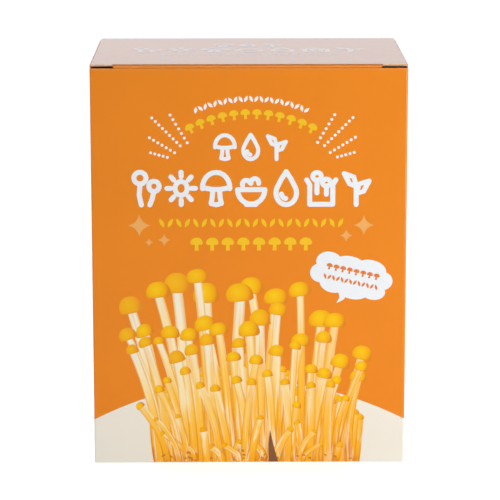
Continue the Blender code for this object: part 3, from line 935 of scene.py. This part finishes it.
class GROWKIT_OT_stage(bpy.types.Operator):
    """Camera, pale floor and soft studio light"""

    bl_idname = "growkit.stage"
    bl_label = "Studio"

    def execute(self, context):
        context.scene.view_settings.view_transform = "Standard"
        self.camera(context.scene)

        floor, node = new_material(
            "white acrylic table",
            Roughness=0.55,
            Specular_IOR_Level=0.2,
            Emission_Color=(1, 1, 1, 1),
            Emission_Strength=0.72,
        )
        place = node("TexCoord")["Object"]
        grain = node("TexNoise", {"Vector": place, "Scale": 3.0, "Detail": 2})[0]
        wired(floor, Base_Color=node("Mix", {0: grain, 6: "F4F4F3", 7: "F7F7F7"}, **COLOUR)[2])
        bm = bmesh.new()
        bmesh.ops.create_grid(bm, x_segments=8, y_segments=8, size=12)
        mesh = bpy.data.meshes.new("studio_floor")
        bm.to_mesh(mesh)
        bm.free()
        mesh.materials.append(floor)
        ground = new_object("studio_floor", mesh)

        # name, energy in watts, size, place, what it looks at
        lamps = (
            ("key_softbox", 3.2, 0.30, (0.46, -0.52, 0.03), (0, 0, 0.06)),
            ("top_softbox", 0.2, 1.2, (0.6, -1.2, 1.5), (0, 0, 0.1)),
            ("overhead_softbox", 4.5, 0.7, (0.0, 0.15, 1.5), (0, 0.02, 0.1)),
        )
        for name, energy, size, place, target in lamps:
            lamp = bpy.data.lights.new(name, "AREA")
            lamp.energy = energy
            lamp.size = size
            holder = new_object(name, lamp)
            holder.location = place
            aim = Vector(target) - Vector(place)
            holder.rotation_euler = aim.to_track_quat("-Z", "Y").to_euler()
            holder.visible_camera = False
        self.tent(context.scene)
        return {"FINISHED"}

    @staticmethod
    def camera(scene):
        """A long lens from a little left of the middle, looking slightly down."""
        settings = scene.grow_kit_stage
        camera = bpy.data.cameras.new("studio_camera")
        camera.lens = settings.lens
        camera.sensor_width = 36
        camera.clip_start = 0.05
        holder = new_object("studio_camera", camera)
        across, down, swing, roll = -0.0070, math.radians(11.54), -0.0063, math.radians(-0.06)
        holder.location = (across, -HALF_DEPTH - settings.distance, settings.height)
        turns = ((swing, "Z"), (math.pi / 2 - down, "X"), (roll, "Z"))
        swung, tilted, rolled = (Matrix.Rotation(angle, 3, axis) for angle, axis in turns)
        holder.rotation_euler = (swung @ tilted @ rolled).to_euler()
        scene.camera = holder

    @staticmethod
    def tent(scene):
        """A light tent: bright behind the part at its own height, dimmer overhead and in front."""
        world = bpy.data.worlds.new("light_tent")
        world.use_nodes = True
        tree = world.node_tree
        node = partial(add_node, tree)
        axes = node("SeparateXYZ", {"Vector": node("TexCoord")["Generated"]})
        greys = ((0.22, (0.93, 0.98, 1.03)), (0.75, (0.17, 0.18, 0.19)))
        overhead = node("ValToRGB", {"Fac": axes["Z"]}, greys)[0]
        values = {"Value": axes["Y"], "From Min": -0.7, "From Max": 0.5, "To Min": 0.14}
        facing = node("MapRange", values)[0]
        shade = node("VectorMath", {0: overhead, "Scale": facing}, operation="SCALE")[0]
        background = tree.nodes["Background"].inputs
        tree.links.new(shade, background["Color"])
        background["Strength"].default_value = 1.15
        scene.world = world


class GROWKIT_OT_walls(bpy.types.Operator):
    """The wrap-round walls of the carton"""

    bl_idname = "growkit.walls"
    bl_label = "Walls"

    def execute(self, context):
        settings = context.scene.grow_kit_carton
        radius = settings.crease_radius
        side, face = HALF_WIDTH - SKIN, HALF_DEPTH - SKIN
        glued = HALF_DEPTH - BOARD - 0.0001
        path = (
            (-side + 0.0004, face),
            (side, face),
            (side, -face),
            (-side, -face),
            (-side, glued),
            (-side + 0.014, glued),
        )
        bm = bmesh.new()
        foot = [bm.verts.new((x, y, 0)) for x, y in path]
        edges = [bm.edges.new(pair) for pair in zip(foot, foot[1:])]
        extrude_edges(bm, edges, (0, 0, WALL_HIGH.z - 0.0001))
        rounded(bm, [e for e in bm.edges if len(e.link_faces) == 2], radius, 6)
        self.cut_down(bm, -HALF_DEPTH + radius + 0.0002, TOP - 0.0019)
        self.cut_down(bm, HALF_DEPTH - radius - 0.0005, TOP - 0.0018)
        outward(bm, (0, -HALF_DEPTH, 0.1), (0, -1, 0))
        finishes = board_finishes(settings)
        walls = finish_piece("carton_walls", bm, finishes, "carton", sharp=35)
        board_thickness(walls)
        pressed_edges(walls, 0.00022, 3, material=0)
        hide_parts("carton_sleeve")
        return {"FINISHED"}

    @staticmethod
    def cut_down(bm, y, height):
        """Lowers the top edge of everything in front of y, with a short slope at y."""
        geometry = list(bm.verts) + list(bm.edges) + list(bm.faces)
        bmesh.ops.bisect_plane(bm, geom=geometry, plane_co=(0, y, 0), plane_no=(0, 1, 0))
        for vert in bm.verts:
            if vert.co.y < y + 1e-6 and vert.co.z > height:
                vert.co.z = height


class GROWKIT_OT_lid(bpy.types.Operator):
    """The lid with its tuck flap, and the crease that joins it to the back wall"""

    bl_idname = "growkit.lid"
    bl_label = "Lid"

    def execute(self, context):
        settings = context.scene.grow_kit_carton
        radius = settings.crease_radius
        top = TOP - SKIN
        side, slits = LID_HIGH.x, (-HALF_WIDTH + 0.0109, HALF_WIDTH - 0.0122)
        bend = TUCK_FACE + 0.0006
        back = HALF_DEPTH - radius
        bm = bmesh.new()
        rows = [
            [bm.verts.new((x, y, top)) for x in (-side, *slits, side)]
            for y in (LID_LOW.y, bend, back)
        ]
        for front, rear, gaps in ((rows[0], rows[1], (0, 2)), (rows[1], rows[2], range(3))):
            for i in gaps:
                bm.faces.new((front[i], front[i + 1], rear[i + 1], rear[i]))
        rounded(bm, [rows[2][0], rows[2][3]], 0.0014, 4, affect="VERTICES")
        self.fold_tuck(bm, slits, bend, top)
        outward(bm, (0, 0, TOP), (0, 0, 1))
        finishes = board_finishes(settings)
        lid = finish_piece("lid_with_tuck", bm, finishes, "lid", sharp=35)
        board_thickness(lid)
        pressed_edges(lid, 0.00012, 2)
        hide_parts("lid_panel", "tuck_flap")
        self.crease(radius, top, side, finishes)
        return {"FINISHED"}

    @staticmethod
    def fold_tuck(bm, slits, bend, top):
        """Rolls the sheet down between the slits, over the wall, into the wider tuck flap."""
        bulge, crest, seat, shoulder = 0.00052, 0.0009, 0.00186, TOP - 0.0030
        ends = (slits[0] + 0.0003, slits[1] - 0.0003)
        edge = [bm.edges.new([bm.verts.new((x, bend, top)) for x in ends])]
        reach = bend - TUCK_FACE + bulge
        profile = [
            (bend - reach * math.sin(a), top - crest + crest * math.cos(a))
            for a in (math.pi / 2 * k / 7 for k in range(8))
        ]
        for k in range(1, 6):
            share = k / 5
            hollow = math.cos(math.pi / 2 * share) ** 0.4
            profile.append((TUCK_FACE - bulge * hollow, top - crest - (seat - crest) * share))
        profile.append((TUCK_FACE, shoulder))
        for (y, z), (next_y, next_z) in zip(profile, profile[1:]):
            edge = extrude_edges(bm, edge, (0, next_y - y, next_z - z))
        upper = sorted(edge[0].verts, key=lambda v: v.co.x)
        wide, lean = TUCK_HIGH.x, 0.0015
        outer = [bm.verts.new((x, TUCK_FACE, shoulder)) for x in (-wide, wide)]
        row = [outer[0], *upper, outer[1]]
        edges = [bm.edges.get(pair) or bm.edges.new(pair) for pair in zip(row, row[1:])]
        lower = extrude_edges(bm, edges, (0, lean, TUCK_LOW.z - shoulder))
        corners = [v for e in lower for v in e.verts if abs(abs(v.co.x) - wide) < 1e-6]
        rounded(bm, corners, 0.007, 6, affect="VERTICES")
        bmesh.ops.remove_doubles(bm, verts=bm.verts, dist=0.00005)

    @staticmethod
    def crease(radius, top, side, finishes):
        """The scored fold between the lid and the back wall, as a quarter-round strip."""
        bm = bmesh.new()
        wide, reach = side - 0.0016, radius - SKIN
        foot = [bm.verts.new((x, HALF_DEPTH - SKIN, top - radius)) for x in (-wide, wide)]
        edges = [bm.edges.new(foot)]
        angles = spaced(0, math.pi / 2, 9)
        for a, b in zip(angles, angles[1:]):
            across, up = reach * (math.cos(b) - math.cos(a)), radius * (math.sin(b) - math.sin(a))
            edges = extrude_edges(bm, edges, (0, across, up))
        outward(bm, (0, HALF_DEPTH, TOP), (0, 1, 1))
        strip = finish_piece("lid_crease", bm, finishes, None)
        board_thickness(strip, BOARD * 0.9)
        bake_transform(strip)


class GROWKIT_OT_flaps(bpy.types.Operator):
    """Board finish for the dust flaps and the snap-lock bottom"""

    bl_idname = "growkit.flaps"
    bl_label = "Flaps"

    def execute(self, context):
        settings = context.scene.grow_kit_carton
        orange, cream = settings.orange, settings.cream
        finishes = (
            (("dust_flap_left", "dust_flap_right"), ("dust flap board", True, "X", orange)),
            (
                ("bottom_flap_left", "bottom_flap_right"),
                ("bottom side flap board", False, "X", cream),
            ),
            (
                ("bottom_flap_front", "bottom_flap_back"),
                ("bottom end flap board", False, "Y", cream),
            ),
        )
        for names, values in finishes:
            material = flap_board(*values)
            for name in names:
                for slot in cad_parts[name].material_slots:
                    slot.material = material
        return {"FINISHED"}


class GROWKIT_OT_front_bunch(bpy.types.Operator):
    """The printed picture of an enoki bunch on the front"""

    bl_idname = "growkit.front_bunch"
    bl_label = "Front picture"

    def execute(self, context):
        front_bunch(context.scene.grow_kit_print.seed)
        return {"FINISHED"}


class GROWKIT_OT_front_marks(bpy.types.Operator):
    """Pictograms, garlands, rays, sparkles and the cloud on the front"""

    bl_idname = "growkit.front_marks"
    bl_label = "Front marks"

    def execute(self, context):
        pen = context.scene.grow_kit_print.pen / MM
        centre = 1.0
        flat_layer("front_pictograms", FRONT, title_shapes(centre, 126.6, pen), "white ink")

        garland, yellow = [], []
        for k, bearing in enumerate(spaced(23.5, -23.5, 23)):
            angle = math.radians(90 + bearing)
            place = self.around((centre, 112.0), 65.6, angle)
            garland.append(leaf(place, 3.4, 1.5, angle + (0.5 if k % 2 else -0.5)))
        flat_layer("front_leaf_arc", FRONT, garland, "warm white ink")

        for bearing in spaced(27.0, -27.0, 12):
            angle = math.radians(90 + bearing)
            place = self.around((centre, 107.0), 61.0, angle)
            yellow += tiny_mushroom(place, 5.0, angle - math.pi / 2)
        yellow += leaf_row(centre, 118.2, 42.5, 22, 5.0, 1.9)
        yellow += mushroom_row(centre, 104.8, 26.0, 8, 6.6)
        flat_layer("front_yellow_marks", FRONT, yellow, "yellow ink")

        # near end, far end and number of dots of each ray
        rays = (
            ((-30.8, 156.8), (-38.8, 170.0), 7),
            ((-34.1, 155.3), (-47.4, 168.6), 9),
            ((-36.8, 152.0), (-48.6, 159.2), 7),
            ((-40.2, 149.8), (-48.1, 152.0), 5),
        )
        dots = []
        for near, far, count in rays:
            for share in spaced(0, 1, count):
                x, z = Vector(near).lerp(Vector(far), share)
                dots += [disc((centre + 0.6 + side * x, z), 0.72) for side in (1, -1)]
        flat_layer("front_dot_rays", FRONT, dots, "warm white ink")

        # place across and up, and size of each sparkle
        sparkles = (
            (-52.2, 117.0, 5.4),
            (-40.4, 110.0, 3.1),
            (-47.6, 108.8, 2.1),
            (54.6, 117.0, 4.9),
            (46.2, 112.0, 3.1),
        )
        stars = [star((x, z), size) for x, z, size in sparkles]
        flat_layer("front_sparkles", FRONT, stars, "pale orange ink")
        self.cloud(Vector((49.0, 92.0)), Matrix.Rotation(math.radians(-13), 2))
        return {"FINISHED"}

    @staticmethod
    def around(centre, radius, angle):
        return Vector(centre) + Vector((math.cos(angle), math.sin(angle))) * radius

    @staticmethod
    def cloud(middle, turn):
        """A tilted speech cloud with a short tail, and two rows of small signs in it."""
        # place across and up, and half sizes of each puff
        puffs = (
            ((-12.0, 4.4), 6.4, 5.2),
            ((-15.2, -1.6), 4.8, 4.6),
            ((-8.0, -5.0), 6.6, 4.8),
            ((2.0, -6.2), 7.6, 4.6),
            ((11.2, -4.6), 6.2, 4.4),
            ((15.0, 1.2), 4.6, 4.4),
            ((8.0, 5.2), 7.6, 4.8),
            ((-2.0, 5.0), 8.0, 4.6),
            ((0.0, 0.0), 15.0, 7.2),
        )
        edges = [arc(place, wide, high, 0, 345, 23) for place, wide, high in puffs]
        signs = [*mushroom_row(0, 1.0, 11.5, 8, 3.2), *leaf_row(0, -2.6, 12.5, 13, 3.0, 1.2)]
        cloud, signs = (
            [[middle + turn @ Vector(p) for p in shape] for shape in group]
            for group in (edges, signs)
        )
        cloud.append(((42.4, 85.0), (47.6, 84.0), (45.0, 80.6), (41.6, 79.0), (43.2, 81.8)))
        flat_layer("front_cloud", FRONT, cloud, "white ink", INK * 1.5)
        flat_layer("front_cloud_signs", FRONT, signs, "deep orange ink", INK * 2.2)


class GROWKIT_OT_lid_marks(bpy.types.Operator):
    """The same rows of pictograms on the lid"""

    bl_idname = "growkit.lid_marks"
    bl_label = "Lid marks"

    def execute(self, context):
        shapes = title_shapes(0, -6.0, context.scene.grow_kit_print.pen / MM)
        shapes += leaf_row(0, -15.0, 42.0, 22, 5.0, 1.9)
        flat_layer("lid_pictograms", LID, shapes, "thin white ink", body="lid")
        return {"FINISHED"}


class GROWKIT_OT_wall_marks(bpy.types.Operator):
    """Numbered steps on the side walls and the back"""

    bl_idname = "growkit.wall_marks"
    bl_label = "Side and back marks"

    def execute(self, context):
        pen = context.scene.grow_kit_print.pen / MM
        self.side("left", LEFT, ("box", "drop", "mushroom"), pen)
        self.side("right", RIGHT, ("sun", "pair", "bowl"), pen)
        self.back(pen)
        return {"FINISHED"}

    @staticmethod
    def side(name, panel, signs, pen):
        """Three numbered badges, each beside its sign, under a garland."""
        white, digits = [], []
        for digit, sign, foot in zip("123", signs, (132.0, 94.0, 56.0)):
            white.append(disc((-26.0, foot + 12.0), 7.0, 32))
            digits += icon_shapes(digit, -29.0, foot + 8.2, 6.0, 7.6, pen * 0.75)
            white += icon_shapes(sign, -6.0, foot, 24.0, 24.0, pen * 1.1)
            white.append(stroke([(-34.0, foot - 7.0), (34.0, foot - 7.0)], 0.7))
        garland = mushroom_row(0, 166.0, 28.0, 9, 6.6)
        flat_layer(f"{name}_signs", panel, white, "white ink")
        flat_layer(f"{name}_numbers", panel, digits, "deep orange ink", INK * 2)
        flat_layer(f"{name}_garland", panel, garland, "yellow ink")

    @staticmethod
    def back(pen):
        """A pale card with four numbered steps and ruled lines, and a bare label below it."""
        cards = [
            rounded_box(-62.0, 73.0, 62.0, 164.0, 5.0),
            rounded_box(10.0, 47.0, 62.0, 66.0, 2.0),
        ]
        places = ((-56.0, 119.5), (4.0, 119.5), (-56.0, 76.0), (4.0, 76.0))
        badges, digits, signs = [], [], []
        for digit, sign, (x, foot) in zip("1234", ("box", "drop", "sun", "bowl"), places):
            badges.append(disc((x + 6.0, foot + 36.0), 5.0, 28))
            digits += icon_shapes(digit, x + 3.8, foot + 33.2, 4.4, 5.6, pen * 0.6)
            signs += icon_shapes(sign, x + 18.0, foot + 15.0, 24.0, 24.0, pen)
            for row, end in ((9.0, 50.0), (5.0, 50.0), (1.0, 34.0)):
                signs.append(stroke([(x + 2.0, foot + row), (x + end, foot + row)], 0.8))
        garland = mushroom_row(0, 170.0, 56.0, 15, 6.6)
        flat_layer("back_cards", BACK, cards, "warm white ink")
        flat_layer("back_badges", BACK, badges + signs, "deep orange ink", INK * 1.5)
        flat_layer("back_numbers", BACK, digits, "white ink", INK * 2.2)
        flat_layer("back_garland", BACK, garland, "yellow ink")


class GROWKIT_OT_contents(bpy.types.Operator):
    """The bagged substrate block and the leaflet"""

    bl_idname = "growkit.contents"
    bl_label = "Contents"

    def execute(self, context):
        self.block()
        self.bag()
        self.leaflet(context.scene.grow_kit_carton.orange)
        return {"FINISHED"}

    @staticmethod
    def block():
        """A pressed block with round edges and a lumpy felted surface."""
        inset = Vector((0.001, 0.001, 0.001))
        bm = cuboid(BLOCK_LOW + inset, BLOCK_HIGH - inset)
        rounded(bm, list(bm.edges), 0.009, 4)
        bmesh.ops.subdivide_edges(bm, edges=bm.edges, cuts=5, use_grid_fill=True)
        bm.normal_update()
        for vert in bm.verts:
            lump = noise.fractal(vert.co * 90, 0.6, 2.0, 4) * 0.0007
            vert.co += vert.normal * min(lump, 0.0009)
        block = finish_piece("substrate_block_felted", bm, [mycelium()], "carton")
        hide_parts("substrate_block")

    @staticmethod
    def bag():
        """Film close round the block, gathered above it to a flat mouth that is folded down."""
        low = BLOCK_LOW - Vector((0.0006, 0.0006, 0.0006))
        high = BLOCK_HIGH + Vector((0.0006, 0.0006, 0.003))
        bm = cuboid(low, high)
        uprights = [e for e in bm.edges if abs(e.verts[0].co.z - e.verts[1].co.z) > 0.05]
        rounded(bm, uprights, 0.008, 4)
        roof = max(bm.faces, key=lambda f: f.calc_center_median().z)
        mouth = bmesh.ops.extrude_discrete_faces(bm, faces=[roof])["faces"][0]
        for vert in mouth.verts:
            vert.co.x *= 0.050 / high.x
            vert.co.y *= 0.0012 / high.y
            vert.co.z += 0.009
        bmesh.ops.delete(bm, geom=[mouth], context="FACES_ONLY")
        bmesh.ops.remove_doubles(bm, verts=bm.verts, dist=1e-6)
        rim = [e for e in bm.edges if len(e.link_faces) == 1]
        direction, turn = Vector((0, 0, 1)), Matrix.Rotation(math.radians(-26), 3, "X")
        for k in range(8):
            centre = sum((v.co for e in rim for v in e.verts), Vector()) / (2 * len(rim))
            rim = extrude_edges(bm, rim, (0, 0, 0))
            verts = list({v for e in rim for v in e.verts})
            if 1 <= k < 5:
                direction = turn @ direction
                bmesh.ops.rotate(bm, verts=verts, cent=centre, matrix=turn)
            bmesh.ops.translate(bm, vec=direction * 0.0042, verts=verts)
        bmesh.ops.subdivide_edges(bm, edges=bm.edges, cuts=4, use_grid_fill=True)
        outward(bm, (0, low.y, 0.05), (0, -1, 0))
        bm.normal_update()
        for vert in bm.verts:
            rise = min(max((vert.co.z - low.z) / (high.z - low.z), 0), 1.2)
            fold = noise.noise(Vector((vert.co.x * 60, vert.co.y * 60, vert.co.z * 22)))
            vert.co += vert.normal * (-abs(fold) * 0.0022 * rise**2 - 0.0001)
        bag = finish_piece("bag_film", bm, [film()], "carton")
        modify(bag, "film", "SOLIDIFY", thickness=0.00012, offset=-1)
        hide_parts("grow_bag")

    @staticmethod
    def leaflet(orange):
        """A sheet folded into three, its folds at the sides."""
        bm = bmesh.new()
        low, high = LEAFLET_LOW, LEAFLET_HIGH
        gap, half = (high.y - low.y) / 3, high.x
        path = [(-half, low.y), (half - gap, low.y)]
        for x, y, sign in (
            (half - gap, low.y + gap / 2, 1),
            (-half + gap, low.y + gap * 1.5, -1),
        ):
            for angle in spaced(-math.pi / 2, math.pi / 2, 6)[1:]:
                across, back = sign * gap / 2 * math.cos(angle), gap / 2 * math.sin(angle)
                path.append((x + across, y + back))
        path.append((half - gap * 3, low.y + gap * 2))
        foot = [bm.verts.new((x, y, low.z)) for x, y in path]
        edges = [bm.edges.new(pair) for pair in zip(foot, foot[1:])]
        extrude_edges(bm, edges, (0, 0, high.z - low.z))
        outward(bm, (0, low.y, 0.08), (0, -1, 0))
        finishes = [leaflet_paper(orange)]
        leaf_piece = finish_piece(
            "folded_leaflet", bm, finishes, "carton", sharp=50
        )
        modify(leaf_piece, "paper", "SOLIDIFY", thickness=0.00015, offset=0)
        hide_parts("leaflet")


class GROWKIT_PT_panel(bpy.types.Panel):
    bl_label = "Grow Kit"
    bl_idname = "GROWKIT_PT_panel"
    bl_space_type = "VIEW_3D"
    bl_region_type = "UI"
    bl_category = "Grow Kit"

    def draw(self, context):
        layout = self.layout
        for group in ("grow_kit_stage", "grow_kit_carton", "grow_kit_print"):
            settings = getattr(context.scene, group)
            for name in settings.__annotations__:
                layout.prop(settings, name)
        for operator in OPERATORS:
            layout.operator(operator.bl_idname)


SETTINGS = {
    "grow_kit_stage": GrowKitStageSettings,
    "grow_kit_carton": GrowKitCartonSettings,
    "grow_kit_print": GrowKitPrintSettings,
}
OPERATORS = (
    GROWKIT_OT_stage,
    GROWKIT_OT_walls,
    GROWKIT_OT_lid,
    GROWKIT_OT_flaps,
    GROWKIT_OT_front_bunch,
    GROWKIT_OT_front_marks,
    GROWKIT_OT_lid_marks,
    GROWKIT_OT_wall_marks,
    GROWKIT_OT_contents,
)


def register():
    for group, settings in SETTINGS.items():
        bpy.utils.register_class(settings)
        setattr(bpy.types.Scene, group, PointerProperty(type=settings))
    for operator in OPERATORS:
        bpy.utils.register_class(operator)
    bpy.utils.register_class(GROWKIT_PT_panel)


def unregister():
    bpy.utils.unregister_class(GROWKIT_PT_panel)
    for operator in reversed(OPERATORS):
        bpy.utils.unregister_class(operator)
    for group, settings in SETTINGS.items():
        delattr(bpy.types.Scene, group)
        bpy.utils.unregister_class(settings)


def main():
    register()
    for operator in OPERATORS:
        category, name = operator.bl_idname.split(".")
        getattr(getattr(bpy.ops, category), name)()


if __name__ == "__main__":
    main()
